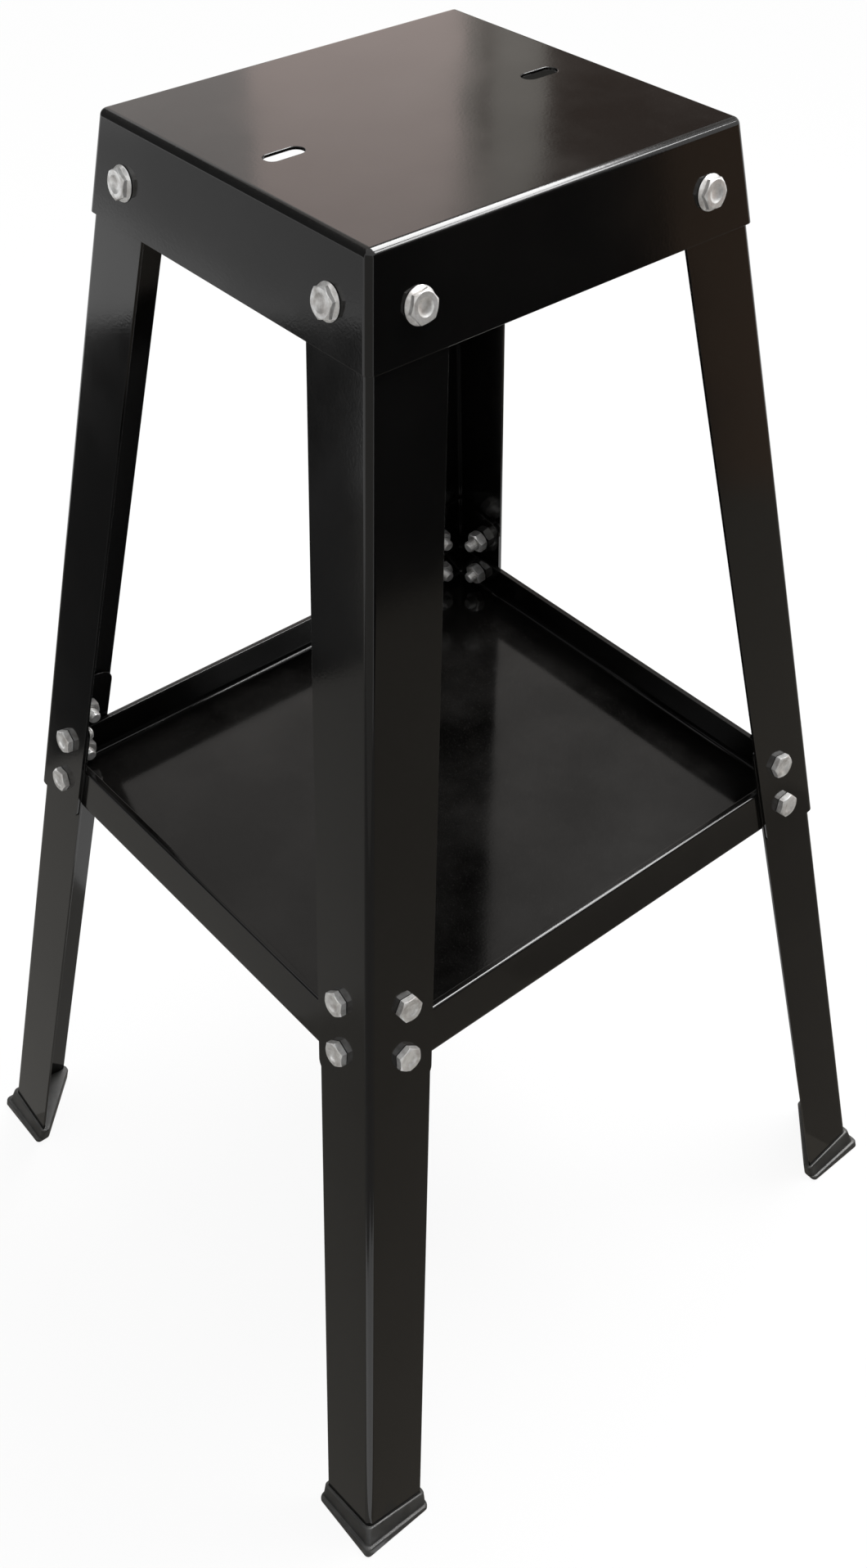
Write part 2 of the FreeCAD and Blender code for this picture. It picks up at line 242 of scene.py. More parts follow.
def rounded_corner(before, corner, after, radius, steps):
    """Points of the arc that rounds a corner."""
    back = (before - corner).normalized()
    ahead = (after - corner).normalized()
    half_angle = back.angle(ahead) / 2
    middle = corner + (back + ahead).normalized() * radius / math.sin(half_angle)
    start = corner + back * radius / math.tan(half_angle) - middle
    end = corner + ahead * radius / math.tan(half_angle) - middle
    return [middle + radius * start.slerp(end, i / steps) for i in range(steps + 1)]


def rounded_outline(corners, radius, steps):
    count = len(corners)
    points = []
    for i, corner in enumerate(corners):
        points += rounded_corner(corners[i - 1], corner, corners[(i + 1) % count], radius, steps)
    return points


# Turning faces into pieces

def make_piece(name, faces, finish, slot, bevel, sharp, bevel_steps):
    """Join the faces into one closed mesh, break its edges and give it its finish."""
    mesh = bpy.data.meshes.new(name)
    work = bmesh.new()
    for corners in faces:
        work.faces.new([work.verts.new(p * MM) for p in corners])
    bmesh.ops.remove_doubles(work, verts=work.verts, dist=JOIN_DISTANCE)
    bmesh.ops.dissolve_degenerate(work, edges=work.edges, dist=SHORTEST_EDGE)
    bmesh.ops.recalc_face_normals(work, faces=work.faces)
    for face in work.faces:
        face.smooth = True
    work.to_mesh(mesh)
    work.free()
    mesh.set_sharp_from_angle(angle=math.radians(sharp))
    piece = bpy.data.objects.new(name, mesh)
    bpy.context.scene.collection.objects.link(piece)
    mesh.materials.append(finish)
    if bevel:
        edges = piece.modifiers.new("broken_edges", "BEVEL")
        edges.width = bevel * MM
        edges.segments = bevel_steps
        edges.limit_method = "ANGLE"
        edges.angle_limit = math.radians(sharp)
        edges.harden_normals = False
        edges.use_clamp_overlap = True
        mesh.set_sharp_from_angle(angle=math.radians(CREASE_ANGLE))
    normals = piece.modifiers.new("flat_faces_stay_flat", "WEIGHTED_NORMAL")
    normals.keep_sharp = True
    normals.weight = FLAT_FACE_WEIGHT
    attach(piece, "root")
    return piece


def make_corner_pieces(kind, faces, finish, slot, **edges):
    """The same piece in all four corners, each standing for its CAD node."""
    for corner, sides in CORNERS.items():
        mirrored = [[mirror(p, sides) for p in face] for face in faces]
        name = f"{kind}_{corner}"
        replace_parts(make_piece(name + "_skin", mirrored, finish, slot, **edges), name)


# Cap and tray: four leaning walls round a flat sheet

def ring(half_x, half_y, radius, height):
    """A level rectangle with round corners, from the front right corner on, anticlockwise."""
    points = []
    for quarter, (side_x, side_y) in enumerate(QUARTERS):
        middle = Vector((side_x * (half_x - radius), side_y * (half_y - radius), height))
        for step in range(BEND_STEPS + 1):
            angle = TAU / 4 * (quarter - 1 + step / BEND_STEPS)
            points.append(middle + Vector((math.cos(angle), math.sin(angle), 0)) * radius)
    return points


def wall_ring(height, inset, radius):
    return ring(half_length(height, inset), half_width(height, inset), radius, height)


def bend_rings(height, inset, centre_radius, radius, end_angle):
    """Rings round a bend whose centre lies `centre_radius` inside the wall at a height."""
    middle_x = half_length(height, inset) - centre_radius / math.cos(SPLAY_X)
    middle_y = half_width(height, inset) - centre_radius / math.cos(SPLAY_Y)
    rings = []
    for step in range(BEND_STEPS + 1):
        share = step / BEND_STEPS
        angle_x = SPLAY_X + (end_angle - SPLAY_X) * share
        angle_y = SPLAY_Y + (end_angle - SPLAY_Y) * share
        half_x = middle_x + radius * math.cos(angle_x)
        half_y = middle_y + radius * math.cos(angle_y)
        corner = max(radius * math.cos(angle_x), 0.0)
        level = height + radius * (math.sin(angle_x) + math.sin(angle_y)) / 2
        rings.append(ring(half_x, half_y, corner, level))
    return rings


def wall_holes(heights, seat_inset, depth):
    """Bolt holes on a skin that lies `depth` under the bolts' seats, listed by their wall."""
    walls = [[], [], [], []]
    for sides in CORNERS.values():
        for height in heights:
            for face, (seat, normal) in zip(("end", "side"), bolt_seats(height, seat_inset)):
                place = mirror(seat - normal * depth, sides)
                if face == "end":
                    wall = 0 if sides[0] > 0 else 2
                else:
                    wall = 1 if sides[1] > 0 else 3
                walls[wall].append(circle(place, mirror(normal, sides), HOLE_RADIUS))
    return walls


def wall_band(faces, low, high, holes):
    """The band of walls between two rings, with bolt holes in its four flat parts."""
    count = len(low)
    for i in range(count):
        j = (i + 1) % count
        corners = [low[i], low[j], high[j], high[i]]
        wall, step = divmod(i, BEND_STEPS + 1)
        if step == BEND_STEPS and holes[wall]:
            panel(faces, corners, holes[wall])
        else:
            faces.append(corners)


def hole_walls(faces, one, other):
    for loops, deeper in zip(one, other):
        for loop, deep in zip(loops, deeper):
            strip(faces, loop, deep)


def slot_outline(centre_x, height):
    """A level slot along X: two half circles, joined by straight sides."""
    half_run = (SLOT_LENGTH - SLOT_WIDTH) / 2
    steps = HOLE_POINTS // 2
    points = []
    for side, half_turn in ((1, 0.0), (-1, TAU / 2)):
        middle = Vector((centre_x + side * half_run, 0, height))
        for step in range(steps + 1):
            angle = TAU / 2 * step / steps - TAU / 4 + half_turn
            points.append(middle + SLOT_WIDTH / 2 * Vector((math.cos(angle), math.sin(angle), 0)))
    return points


def top_cap_faces():
    faces = []
    bottom = HEIGHT - SKIRT_DROP
    bend_height = HEIGHT - CAP_BEND
    outer_bend = bend_rings(bend_height, 0.0, CAP_BEND, CAP_BEND, TAU / 4)
    inner_bend = bend_rings(bend_height, 0.0, CAP_BEND, CAP_BEND - SHEET, TAU / 4)
    outer_low = wall_ring(bottom, 0.0, CAP_BEND)
    inner_low = wall_ring(bottom, SHEET, CAP_BEND - SHEET)
    outer_holes = wall_holes([HEIGHT - CAP_BOLT_DROP], 0.0, 0.0)
    inner_holes = wall_holes([HEIGHT - CAP_BOLT_DROP], 0.0, SHEET)
    wall_band(faces, outer_low, outer_bend[0], outer_holes)
    wall_band(faces, inner_low, inner_bend[0], inner_holes)
    hole_walls(faces, outer_holes, inner_holes)
    strip(faces, outer_low, inner_low)
    bands(faces, outer_bend)
    bands(faces, inner_bend)
    slots_above = [slot_outline(side * SLOT_SPACING / 2, HEIGHT) for side in (-1, 1)]
    slots_below = [slot_outline(side * SLOT_SPACING / 2, HEIGHT - SHEET) for side in (-1, 1)]
    panel(faces, outer_bend[-1], slots_above)
    panel(faces, inner_bend[-1], slots_below)
    for above, below in zip(slots_above, slots_below):
        strip(faces, above, below)
    return faces


def shelf_tray_faces():
    faces = []
    rim = TRAY_RIM_HEIGHT
    bend_height = rim - TRAY_DEPTH + TRAY_BEND
    inner_round = TRAY_BEND - SHEET
    outer_bend = bend_rings(bend_height, TRAY_INSET, TRAY_BEND, TRAY_BEND, -TAU / 4)
    inner_bend = bend_rings(bend_height, TRAY_INSET, TRAY_BEND, inner_round, -TAU / 4)
    outer_holes = wall_holes([LOWER_LAP_HEIGHT], TRAY_INSET, 0.0)
    inner_holes = wall_holes([LOWER_LAP_HEIGHT], TRAY_INSET, SHEET)
    fold = []
    for step in range(BEND_STEPS + 1):
        angle = TAU / 4 * step / BEND_STEPS
        level = rim - TRAY_FOLD * (1 - math.sin(angle))
        fold.append(wall_ring(level, TRAY_INSET + FOLD_WIDTH * (1 - math.cos(angle)), TRAY_BEND))
    hem_inside = wall_ring(rim - SHEET, TRAY_INSET + SHEET, inner_round)
    hem_under = wall_ring(rim - SHEET, TRAY_INSET + TRAY_HEM, inner_round)
    hem_over = wall_ring(rim, TRAY_INSET + TRAY_HEM, inner_round)
    wall_band(faces, outer_bend[0], fold[0], outer_holes)
    wall_band(faces, inner_bend[0], hem_inside, inner_holes)
    hole_walls(faces, outer_holes, inner_holes)
    bands(faces, fold + [hem_over, hem_under, hem_inside])
    bands(faces, outer_bend)
    bands(faces, inner_bend)
    panel(faces, outer_bend[-1])
    panel(faces, inner_bend[-1])
    return faces


# Legs: an angle whose free corners are rounded where it laps the other one

def leg_faces(inset, flange, foot, head, rounded_end, seat_insets):
    """An angle section between two cuts square to the leg, given by their heights at its corner.

    `seat_insets` gives how deep the bolts' seats lie, for each height that has bolts.
    """
    base = leg_corner(foot, inset)
    length = (leg_corner(head, inset) - base).length
    inward = -(END_NORMAL + SIDE_NORMAL) / (1 + END_NORMAL.dot(SIDE_NORMAL))
    middle = base + inward * LEG_BEND
    arms = []
    for normal, level in ((END_NORMAL, Vector((0, -1, 0))), (SIDE_NORMAL, Vector((-1, 0, 0)))):
        arm = level - LEG_AXIS * level.dot(LEG_AXIS)
        arms.append((normal, arm.normalized(), flange * arm.length))
    seats = [seat for height, deep in seat_insets.items() for seat in bolt_seats(height, deep)]
    faces = []
    skins = []
    for depth in (0.0, SHEET):
        bend = [
            middle + (LEG_BEND - depth) * END_NORMAL.slerp(SIDE_NORMAL, step / BEND_STEPS)
            for step in range(BEND_STEPS + 1)
        ]
        bend_top = [p + LEG_AXIS * length for p in bend]
        edges = []
        holes = []
        arm_starts = zip(arms, (bend[0], bend[-1]), (bend_top[0], bend_top[-1]))
        for (normal, arm, width), low, high in arm_starts:
            tip = base + arm * width - normal * depth
            top_tip = tip + LEG_AXIS * length
            if rounded_end == "low":
                edge = rounded_corner(low, tip, top_tip, LEG_END_ROUND, BEND_STEPS) + [top_tip]
            else:
                edge = [tip] + rounded_corner(tip, top_tip, high, LEG_END_ROUND, BEND_STEPS)
            edges.append(edge)
            own_holes = [
                circle(seat - normal * (seat - low).dot(normal), normal, HOLE_RADIUS)
                for seat, seat_normal in seats if seat_normal == normal
            ]
            holes.append(own_holes)
            panel(faces, [low] + edge + [high], own_holes)
        strip(faces, bend, bend_top, closed=False)
        skins.append((edges[0] + bend_top + edges[1][::-1] + bend[::-1], holes))
    strip(faces, skins[0][0], skins[1][0])
    hole_walls(faces, skins[0][1], skins[1][1])
    return faces


def upper_leg_faces():
    foot = LOWER_LAP_HEIGHT - BOLT_END_DISTANCE + BOLT_GAUGE * LEAN_X
    head = HEIGHT - CAP_BEND - LEG_HEAD_GAP
    cap_height = HEIGHT - CAP_BOLT_DROP
    seat_insets = {cap_height: 0.0, UPPER_LAP_HEIGHT: UPPER_INSET, LOWER_LAP_HEIGHT: UPPER_INSET}
    return leg_faces(UPPER_INSET, UPPER_FLANGE, foot, head, "low", seat_insets)


def lower_leg_end():
    return FOOT_SOLE + LOWER_FLANGE * LEAN_X


def lower_leg_faces():
    head = UPPER_LAP_HEIGHT + BOLT_END_DISTANCE + BOLT_GAUGE * LEAN_X
    seat_insets = {UPPER_LAP_HEIGHT: UPPER_INSET, LOWER_LAP_HEIGHT: UPPER_INSET}
    return leg_faces(LOWER_INSET, LOWER_FLANGE, lower_leg_end(), head, "high", seat_insets)


# Bolts and nuts, made along +Z on the origin

def round_ring(radius, height):
    return circle(Vector((0, 0, height)), UP, radius, HEAD_POINTS)


def hexagon_ring(height_at):
    """A ring on a hexagon's sides, at a height that may change with the radius."""
    points = []
    for i in range(HEAD_POINTS):
        angle = TAU * i / HEAD_POINTS
        radius = HEAD_FLATS / 2 / math.cos((angle % (TAU / 6)) - TAU / 12)
        height = height_at(radius)
        points.append(Vector((radius * math.cos(angle), radius * math.sin(angle), height)))
    return points


def chamfer_height(edge, direction):
    """The height of a 30 degree chamfer round a hexagon's end, as a function of the radius."""
    slope = math.tan(TAU / 12)
    return lambda radius: edge - direction * (radius - HEAD_FACE) * slope


def close_end(faces, last_ring, height, direction):
    """Triangles from a ring to its middle, wound for the way they face."""
    centre = Vector((0, 0, height))
    for i in range(HEAD_POINTS):
        j = (i + 1) % HEAD_POINTS
        one, other = (i, j) if direction > 0 else (j, i)
        faces.append([last_ring[one], last_ring[other], centre])


def bolt_faces(flanged):
    """The bolt's head, on a seat that the paint lifts by the gap."""
    top = LAP_GAP + HEAD_HEIGHT
    rings = [round_ring(BOLT_RADIUS - THREAD_DEPTH / 2, LAP_GAP)]
    if flanged:
        rings += [round_ring(HEAD_FLANGE - inward, LAP_GAP + up) for inward, up in FLANGE_EDGE]
        hexagon_foot = LAP_GAP + FLANGE_THICKNESS + FLANGE_BLEND
    else:
        rings.append(round_ring(HEAD_FACE, LAP_GAP))
        hexagon_foot = LAP_GAP + HEAD_BREAK
    rings.append(hexagon_ring(lambda radius: hexagon_foot))
    rings.append(hexagon_ring(chamfer_height(top, 1)))
    rings.append(round_ring(HEAD_FACE, top))
    rings += [round_ring(HEAD_DISH - inward, top - down) for inward, down in DISH_SLOPE]
    faces = []
    bands(faces, rings)
    dish_depth = DISH_SLOPE[-1][1]
    close_end(faces, rings[-1], top - dish_depth, 1)
    return faces


def thread_faces():
    """The bolt's shank below the head, with its thread."""
    end = LAP_GAP - BOLT_LENGTH
    thread_top = end + THREAD_TURNS * THREAD_PITCH
    plain_radius = BOLT_RADIUS - THREAD_DEPTH / 2
    rings = [
        round_ring(plain_radius, LAP_GAP),
        round_ring(plain_radius, thread_top + THREAD_RUN_OUT),
    ]
    count = THREAD_TURNS * RINGS_PER_PITCH
    for j in range(count + 1):
        height = thread_top + (end + POINT_CHAMFER - thread_top) * j / count
        taper = max(0.0, 1.0 - (height - end) / POINT_LENGTH)
        points = []
        for i in range(HEAD_POINTS):
            turn = i / HEAD_POINTS
            phase = (height / THREAD_PITCH + turn) % 1.0
            ridge = 1.0 - abs(2.0 * phase - 1.0)
            ridge = min(max(THREAD_SLOPE * ridge - THREAD_ROOT, 0.0), 1.0)
            radius = BOLT_RADIUS - THREAD_DEPTH * (1.0 - ridge) - taper * POINT_DROP * ridge
            angle = TAU * turn
            points.append(Vector((radius * math.cos(angle), radius * math.sin(angle), height)))
        rings.append(points)
    rings.append(round_ring(BOLT_RADIUS - POINT_INSET, end))
    faces = []
    bands(faces, rings)
    close_end(faces, rings[-1], end, -1)
    return faces


def nut_faces():
    rings = [
        round_ring(NUT_BORE, NUT_HEIGHT - NUT_COUNTERSINK),
        round_ring(NUT_BORE + NUT_COUNTERSINK, NUT_HEIGHT),
        round_ring(HEAD_FACE, NUT_HEIGHT),
        hexagon_ring(chamfer_height(NUT_HEIGHT, 1)),
        hexagon_ring(chamfer_height(0.0, -1)),
        round_ring(HEAD_FACE, 0.0),
        round_ring(NUT_BORE + NUT_COUNTERSINK, 0.0),
        round_ring(NUT_BORE, NUT_COUNTERSINK),
    ]
    faces = []
    bands(faces, rings + rings[:1])
    return faces


def put_on(faces, seat, normal, turn, sides):
    """Faces made along +Z, turned round their axis and put on a seat in one of the corners."""
    place = Matrix.Translation(seat) @ normal.to_track_quat("Z", "Y").to_matrix().to_4x4()
    place = place @ Matrix.Rotation(turn, 4, "Z")
    return [[mirror(place @ p, sides) for p in face] for face in faces]


def set_of(faces, places, sides_of, turns):
    """Copies of a fastener on all the places of each of the corners in `sides_of`."""
    result = []
    for sides in sides_of:
        for seat, normal in places:
            result += put_on(faces, seat, normal, turns.uniform(0, TAU / 6), sides)
    return result


def nut_places(seats, grip):
    return [(seat - normal * (grip + LAP_GAP), -normal) for seat, normal in seats]


def make_fasteners(finish, **edges):
    turns = random.Random(HEAD_TURN_SEED)
    cap_seats = bolt_seats(HEIGHT - CAP_BOLT_DROP, 0.0)
    upper_seats = bolt_seats(UPPER_LAP_HEIGHT, UPPER_INSET)
    lower_seats = bolt_seats(LOWER_LAP_HEIGHT, UPPER_INSET)
    lap_grip = 2 * SHEET + LAP_GAP
    shelf_grip = lap_grip + LAP_GAP + SHEET
    lap_nuts = nut_places(upper_seats, lap_grip) + nut_places(lower_seats, shelf_grip)
    cap_bolt = bolt_faces(True) + thread_faces()
    lap_bolt = bolt_faces(False) + thread_faces()
    nut = nut_faces()
    corners = list(CORNERS.values())
    whole = {
        "cap_bolts": set_of(cap_bolt, cap_seats, corners, turns),
        "cap_nuts": set_of(nut, nut_places(cap_seats, UPPER_INSET + SHEET), corners, turns),
    }
    for corner, sides in CORNERS.items():
        whole[f"leg_bolts_{corner}"] = set_of(lap_bolt, upper_seats + lower_seats, [sides], turns)
        whole[f"leg_nuts_{corner}"] = set_of(nut, lap_nuts, [sides], turns)
    for name, faces in whole.items():
        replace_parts(make_piece(name + "_skin", faces, finish, "zinc_plate", **edges), name)


# Feet

def foot_outline(height, outset, pull):
    """The foot's level outline; `pull` draws all its sides in."""
    corner = leg_corner(height, LOWER_INSET)
    out_x = corner.x + outset - pull
    out_y = corner.y + outset - pull
    end_x = corner.x - LOWER_FLANGE - FOOT_WEB + pull
    end_y = corner.y - LOWER_FLANGE - FOOT_WEB + pull
    slant = FOOT_BACK - SLANT_SHARE * pull
    corners = [
        Vector((out_x, end_y, height)),
        Vector((out_x, out_y, height)),
        Vector((end_x, out_y, height)),
        Vector((end_x, corner.y - slant, height)),
        Vector((corner.x - slant, end_y, height)),
    ]
    return rounded_outline(corners, FOOT_ROUND, FOOT_ROUND_STEPS)


def fall_from_corner(points, height, share):
    """Points moved along the leg onto a plane: level at a share of 0, square to the leg at 1."""
    corner = leg_corner(height, LOWER_INSET)
    slope = Vector((-LEAN_X * share, -LEAN_Y * share, 1))
    return [p + UP_THE_LEG * (slope.dot(corner - p) / slope.dot(UP_THE_LEG)) for p in points]


def foot_faces():
    rings = [
        fall_from_corner(foot_outline(height, outset, pull), height, fall)
        for height, outset, pull, fall in FOOT_PROFILE
    ]
    bottom = lower_leg_end() - FOOT_FIT
    socket_top, socket_bottom = (
        fall_from_corner(socket_outline(height), height, 1.0)
        for height in (FOOT_RIM_HEIGHT, bottom)
    )
    faces = []
    bands(faces, rings)
    panel(faces, rings[0])
    panel(faces, rings[-1], [socket_top])
    strip(faces, socket_top, socket_bottom)
    panel(faces, socket_bottom)
    return faces


def socket_outline(height):
    """The slot that the leg's angle stands in."""
    corner = leg_corner(height, LOWER_INSET)
    inner = leg_corner(height, LOWER_INSET + SHEET)
    out_x, out_y = corner.x + FOOT_FIT, corner.y + FOOT_FIT
    in_x, in_y = inner.x - FOOT_FIT, inner.y - FOOT_FIT
    end_x = corner.x - LOWER_FLANGE - FOOT_FIT
    end_y = corner.y - LOWER_FLANGE - FOOT_FIT
    start = Vector((out_x, end_y, height))
    outside = Vector((out_x, out_y, height))
    end = Vector((end_x, out_y, height))
    end_inside = Vector((end_x, in_y, height))
    inside = Vector((in_x, in_y, height))
    start_inside = Vector((in_x, end_y, height))
    points = [start] + rounded_corner(start, outside, end, LEG_BEND + FOOT_FIT, BEND_STEPS)
    points += [end, end_inside]
    points += rounded_corner(end_inside, inside, start_inside, LEG_BEND - SHEET, BEND_STEPS)
    return points + [start_inside]


# Finishes

ENAMEL = (0.0016, 0.0015, 0.0014)
ENAMEL_SMUDGE = (0.0030, 0.0028, 0.0026)
ENAMEL_DUST = (0.20, 0.19, 0.18)
ENAMEL_EDGE = (0.045, 0.044, 0.043)
ZINC = (0.92, 0.92, 0.91)
ZINC_STAIN = (0.52, 0.50, 0.48)
ZINC_EDGE = (0.86, 0.86, 0.85)
RUBBER = (0.017, 0.017, 0.017)
RUBBER_BLOOM = (0.038, 0.038, 0.037)
RUBBER_DUST = (0.24, 0.23, 0.21)
# lighter rubber edges: partly wear, partly a painted highlight along the feet's rims
RUBBER_EDGE_WEAR_AND_HIGHLIGHT = (0.16, 0.16, 0.15)
MIX_SOCKETS = {"FLOAT": (2, 3, 0), "RGBA": (6, 7, 2)}   # inputs A and B of a mix node, and output


def add(tree, kind, **settings):
    """A new node, with its inputs or its own properties set."""
    made = tree.nodes.new(kind)
    for key, value in settings.items():
        if key in made.inputs:
            made.inputs[key].default_value = value
        else:
            setattr(made, key, value)
    return made


def shared_effect(name, inputs, output):
    """An empty node group of numbers; returns it with its input node and its output's socket."""
    group = bpy.data.node_groups.new(name, "ShaderNodeTree")
    for socket, value in inputs.items():
        made = group.interface.new_socket(socket, in_out="INPUT", socket_type="NodeSocketFloat")
        made.default_value = value
    group.interface.new_socket(output, in_out="OUTPUT", socket_type="NodeSocketFloat")
    given = group.nodes.new("NodeGroupInput")
    return group, given, group.nodes.new("NodeGroupOutput").inputs[output]


def use(tree, group, **values):
    """A shared effect's output, with these values on its inputs."""
    made = tree.nodes.new("ShaderNodeGroup")
    made.node_tree = group
    for key, value in values.items():
        made.inputs[key.replace("_", " ").capitalize()].default_value = value
    return made.outputs[0]


def noise(tree, scale, detail, roughness):
    """Noise in the piece's own space; its scale is a number or a socket."""
    place = add(tree, "ShaderNodeTexCoord").outputs["Object"]
    made = add(tree, "ShaderNodeTexNoise", Detail=detail, Roughness=roughness)
    tree.links.new(place, made.inputs["Vector"])
    if isinstance(scale, float):
        made.inputs["Scale"].default_value = scale
    else:
        tree.links.new(scale, made.inputs["Scale"])
    return made.outputs["Fac"]


def ramp(tree, value, low, high, low_out=0.0, high_out=1.0):
    """A value mapped from one range to another and held between its ends."""
    made = add(tree, "ShaderNodeMapRange", clamp=True)
    made.inputs["From Min"].default_value = low
    made.inputs["From Max"].default_value = high
    made.inputs["To Min"].default_value = low_out
    made.inputs["To Max"].default_value = high_out
    tree.links.new(value, made.inputs["Value"])
    return made.outputs["Result"]


def math_node(tree, operation, one, other):
    made = add(tree, "ShaderNodeMath", operation=operation)
    for socket, value in zip(made.inputs, (one, other)):
        if isinstance(value, (int, float)):
            socket.default_value = value
        else:
            tree.links.new(value, socket)
    return made.outputs[0]


def surface_texture_group():
    """Paint or moulding texture: fine orange peel over slow waves of the sheet."""
    inputs = {"Peel scale": 500.0, "Peel": 0.3, "Wave scale": 12.0, "Wave": 1.0}
    group, given, height = shared_effect("surface_texture", inputs, "Height")
    peel = noise(group, given.outputs["Peel scale"], detail=1.0, roughness=0.5)
    wave = noise(group, given.outputs["Wave scale"], detail=1.0, roughness=0.5)
    peel_part = math_node(group, "MULTIPLY", peel, given.outputs["Peel"])
    wave_part = math_node(group, "MULTIPLY", wave, given.outputs["Wave"])
    group.links.new(math_node(group, "ADD", peel_part, wave_part), height)
    return group


def dust_group():
    """Thin dust, mostly on surfaces that face up."""
    group, given, mask = shared_effect("dust", {"Amount": 0.1, "Speckle": 900.0}, "Mask")
    cloud = noise(group, 14.0, detail=4.0, roughness=0.6)
    speckle = noise(group, given.outputs["Speckle"], detail=2.0, roughness=0.6)
    facing = add(group, "ShaderNodeSeparateXYZ")
    group.links.new(add(group, "ShaderNodeNewGeometry").outputs["Normal"], facing.inputs[0])
    upward = ramp(group, facing.outputs["Z"], 0.2, 0.9, 0.02, 1.0)
    half_clouds = math_node(group, "MULTIPLY", ramp(group, cloud, 0.4, 0.7), 0.5)
    specks = ramp(group, speckle, 0.62, 0.72)
    film = math_node(group, "ADD", half_clouds, specks)
    settled = math_node(group, "MULTIPLY", film, upward)
    group.links.new(math_node(group, "MULTIPLY", settled, given.outputs["Amount"]), mask)
    return group


def edge_wear_group():
    """A mask of the edges, found where a rounding would turn the normal, and broken up by noise."""
    inputs = {"Radius": 0.0006, "Amount": 0.5, "Break up": 120.0}
    group, given, mask = shared_effect("edge_wear", inputs, "Mask")
    rounded = add(group, "ShaderNodeBevel", samples=4)
    group.links.new(given.outputs["Radius"], rounded.inputs["Radius"])
    flat = add(group, "ShaderNodeNewGeometry")
    compare = add(group, "ShaderNodeVectorMath", operation="DOT_PRODUCT")
    group.links.new(rounded.outputs[0], compare.inputs[0])
    group.links.new(flat.outputs["Normal"], compare.inputs[1])
    edge = ramp(group, compare.outputs["Value"], 0.99, 0.80)
    patches = noise(group, given.outputs["Break up"], detail=4.0, roughness=0.7)
    worn = math_node(group, "MULTIPLY", edge, ramp(group, patches, 0.35, 0.65))
    group.links.new(math_node(group, "MULTIPLY", worn, given.outputs["Amount"]), mask)
    return group


def mixed(tree, mask, base, other):
    """A colour or a number that goes from `base` to `other` as the mask goes from 0 to 1."""
    kind = "RGBA" if isinstance(other, tuple) else "FLOAT"
    base_input, other_input, result = MIX_SOCKETS[kind]
    made = add(tree, "ShaderNodeMix", data_type=kind)
    for socket, value in ((made.inputs[base_input], base), (made.inputs[other_input], other)):
        if isinstance(value, tuple):
            socket.default_value = (*value, 1)
        elif isinstance(value, float):
            socket.default_value = value
        else:
            tree.links.new(value, socket)
    tree.links.new(mask, made.inputs[0])
    return made.outputs[result]


def bumped(tree, height, distance):
    made = add(tree, "ShaderNodeBump", Strength=1.0, Distance=distance)
    tree.links.new(height, made.inputs["Height"])
    return made.outputs["Normal"]


def new_material(name):
    material = bpy.data.materials.new(name)
    material.use_nodes = True
    tree = material.node_tree
    return material, tree, tree.nodes["Principled BSDF"]


def gloss_black_enamel(texture, dust, wear):
    material, tree, surface = new_material("gloss_black_enamel")
    smudges = ramp(tree, noise(tree, 9.0, detail=5.0, roughness=0.6), 0.42, 0.72)
    film = use(tree, dust, amount=0.06, speckle=1300.0)
    worn = use(tree, wear, radius=0.0007, amount=0.35, break_up=160.0)
    paint = mixed(tree, smudges, ENAMEL, ENAMEL_SMUDGE)
    dusty = mixed(tree, film, paint, ENAMEL_DUST)
    tree.links.new(mixed(tree, worn, dusty, ENAMEL_EDGE), surface.inputs["Base Color"])
    gloss = mixed(tree, smudges, 0.085, 0.16)
    tree.links.new(mixed(tree, film, gloss, 0.6), surface.inputs["Roughness"])
    height = use(tree, texture, peel_scale=700.0, peel=0.014, wave_scale=9.0, wave=1.0)
    tree.links.new(bumped(tree, height, distance=0.0006), surface.inputs["Normal"])
    surface.inputs["IOR"].default_value = 1.5
    return material


def bright_zinc(texture, dust, wear):
    material, tree, surface = new_material("bright_zinc_plate")
    stains = ramp(tree, noise(tree, 160.0, detail=4.0, roughness=0.6), 0.40, 0.66)
    plate = mixed(tree, stains, ZINC, ZINC_STAIN)
    worn = use(tree, wear, radius=0.0004, amount=0.6, break_up=500.0)
    tree.links.new(mixed(tree, worn, plate, ZINC_EDGE), surface.inputs["Base Color"])
    film = use(tree, dust, amount=0.15, speckle=2500.0)
    gloss = mixed(tree, stains, 0.28, 0.44)
    tree.links.new(mixed(tree, film, gloss, 0.7), surface.inputs["Roughness"])
    height = use(tree, texture, peel_scale=1500.0, peel=0.35, wave_scale=260.0, wave=1.0)
    tree.links.new(bumped(tree, height, distance=0.00008), surface.inputs["Normal"])
    surface.inputs["Metallic"].default_value = 0.65
    return material


def black_rubber(texture, dust, wear):
    material, tree, surface = new_material("moulded_black_rubber")
    bloom = noise(tree, 70.0, detail=5.0, roughness=0.6)
    rubber = mixed(tree, ramp(tree, bloom, 0.4, 0.7), RUBBER, RUBBER_BLOOM)
    # the edges turn lighter, partly from wear and partly as a painted highlight on the rims
    worn = use(tree, wear, radius=0.001, amount=0.7, break_up=90.0)
    film = use(tree, dust, amount=0.35, speckle=1800.0)
    dusty = mixed(tree, film, rubber, RUBBER_DUST)
    tree.links.new(mixed(tree, worn, dusty, RUBBER_EDGE_WEAR_AND_HIGHLIGHT), surface.inputs["Base Color"])
    tree.links.new(ramp(tree, bloom, 0.3, 0.7, 0.30, 0.42), surface.inputs["Roughness"])
    height = use(tree, texture, peel_scale=1600.0, peel=0.6, wave_scale=120.0, wave=0.8)
    tree.links.new(bumped(tree, height, distance=0.00012), surface.inputs["Normal"])
    return material


# The studio, in metres

